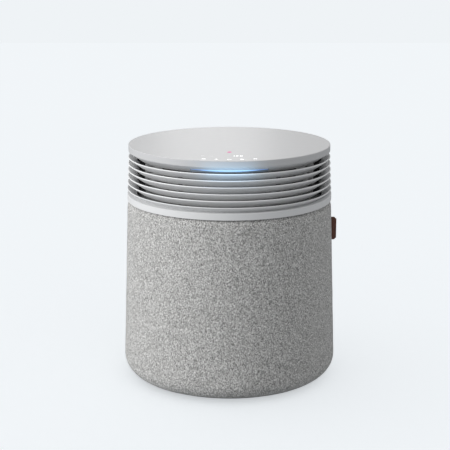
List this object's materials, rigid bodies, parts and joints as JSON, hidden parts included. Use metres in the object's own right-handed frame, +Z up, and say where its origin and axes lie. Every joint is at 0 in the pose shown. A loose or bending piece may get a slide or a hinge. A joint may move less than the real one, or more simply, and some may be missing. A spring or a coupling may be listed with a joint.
{
  "type": "air purifier",
  "caption": "Round room air purifier: fabric drum with a lift-out round filter, and a lift-off head with louvre rings, fan and flat touch lid.",
  "frame": {"origin": "centre of the foot ring's underside, on the floor", "axes": "+Z up, the front with the touch keys and the light bar faces -Y, the leather tab is at +X"},
  "size_m": [0.3445, 0.3436, 0.3772],
  "materials": {
    "shell_grey": "satin moulded plastic, light warm grey",
    "lid_satin": "fine satin paint over moulded plastic",
    "knit_fabric": "melange grey knit over thin padding",
    "leather_brown": "dark brown leather, folded and stitched",
    "dark_plastic": "dark grey glass-filled plastic",
    "inner_plastic": "plain moulded plastic",
    "foot_rubber": "soft rubber",
    "screw_steel": "zinc plated",
    "shaft_steel": "ground steel",
    "magnet_grey": "nickel plated magnet",
    "filter_paper": "pleated filter paper",
    "carbon_black": "bonded carbon granules",
    "mesh_grey": "fine nylon mesh",
    "seal_foam": "closed-cell foam",
    "strap_web": "woven webbing",
    "light_guide": "frosted light guide, lit blue",
    "lens_pink": "frosted lens, lit pink",
    "board_green": "circuit board with solder mask",
    "part_black": "moulded component bodies",
    "spring_gold": "gold plated contact springs",
    "cast_alloy": "die-cast",
    "lamination": "stacked laminations",
    "coil_copper": "enamelled copper wire"
  },
  "bodies": {
    "drum": {"foot_ring": "foot_rubber", "base_plate": "inner_plastic", "base_screws": "screw_steel", "casing": "inner_plastic", "casing_panels": "inner_plastic", "drum_rim": "shell_grey", "interlock_magnet": "magnet_grey", "filter_seat": "inner_plastic", "fabric_sleeve": "knit_fabric", "leather_tab": "leather_brown"},
    "filter": {"filter_bottom_cap": "dark_plastic", "filter_cap_plate": "dark_plastic", "filter_media": "filter_paper", "filter_carbon": "carbon_black", "prefilter_mesh": "mesh_grey", "filter_top_ring": "dark_plastic", "filter_seal": "seal_foam", "filter_strap": "strap_web"},
    "head": {"collar": "shell_grey", "fan_deck": "inner_plastic", "deck_screws": "screw_steel", "finger_guard": "dark_plastic", "louvre_posts": "dark_plastic", "post_screws": "screw_steel", "louvre_1": "shell_grey", "louvre_2": "shell_grey", "louvre_3": "shell_grey", "louvre_4": "shell_grey", "louvre_5": "shell_grey", "tray": "shell_grey", "lid": "lid_satin", "lid_screws": "screw_steel", "light_bar": "light_guide", "light_board": "board_green", "touch_board": "board_green", "touch_screws": "screw_steel", "touch_springs": "spring_gold", "display_module": "part_black", "status_lens": "lens_pink", "main_board": "board_green", "board_parts": "part_black", "board_screws": "screw_steel", "dust_sensor": "dark_plastic", "interlock_switch": "part_black", "dc_inlet": "part_black", "power_lead": "part_black", "lead_grommet": "foot_rubber", "motor_base": "cast_alloy", "motor_dampers": "foot_rubber", "motor_screws": "screw_steel", "motor_bearings": "shaft_steel", "stator_core": "lamination", "stator_coils": "coil_copper"},
    "rotor": {"impeller": "dark_plastic", "rotor_cup": "shaft_steel", "rotor_magnets": "magnet_grey", "motor_shaft": "shaft_steel", "shaft_clip": "shaft_steel", "hub_screws": "screw_steel"}
  },
  "joints": [
    {"name": "head_lift", "type": "slide", "parent": "drum", "child": "head", "axis": [0, 0, 1], "range_m": [0, 0.4]},
    {"name": "filter_lift", "type": "slide", "parent": "drum", "child": "filter", "axis": [0, 0, 1], "range_m": [0, 0.26]},
    {"name": "fan_spin", "type": "hinge", "parent": "head", "child": "rotor", "pos_m": [0, 0, 0.33], "axis": [0, 0, 1], "continuous": true}
  ],
  "couplings": [
    {"joint": "filter_lift", "follows": "head_lift", "ratio": 0.65}
  ]
}
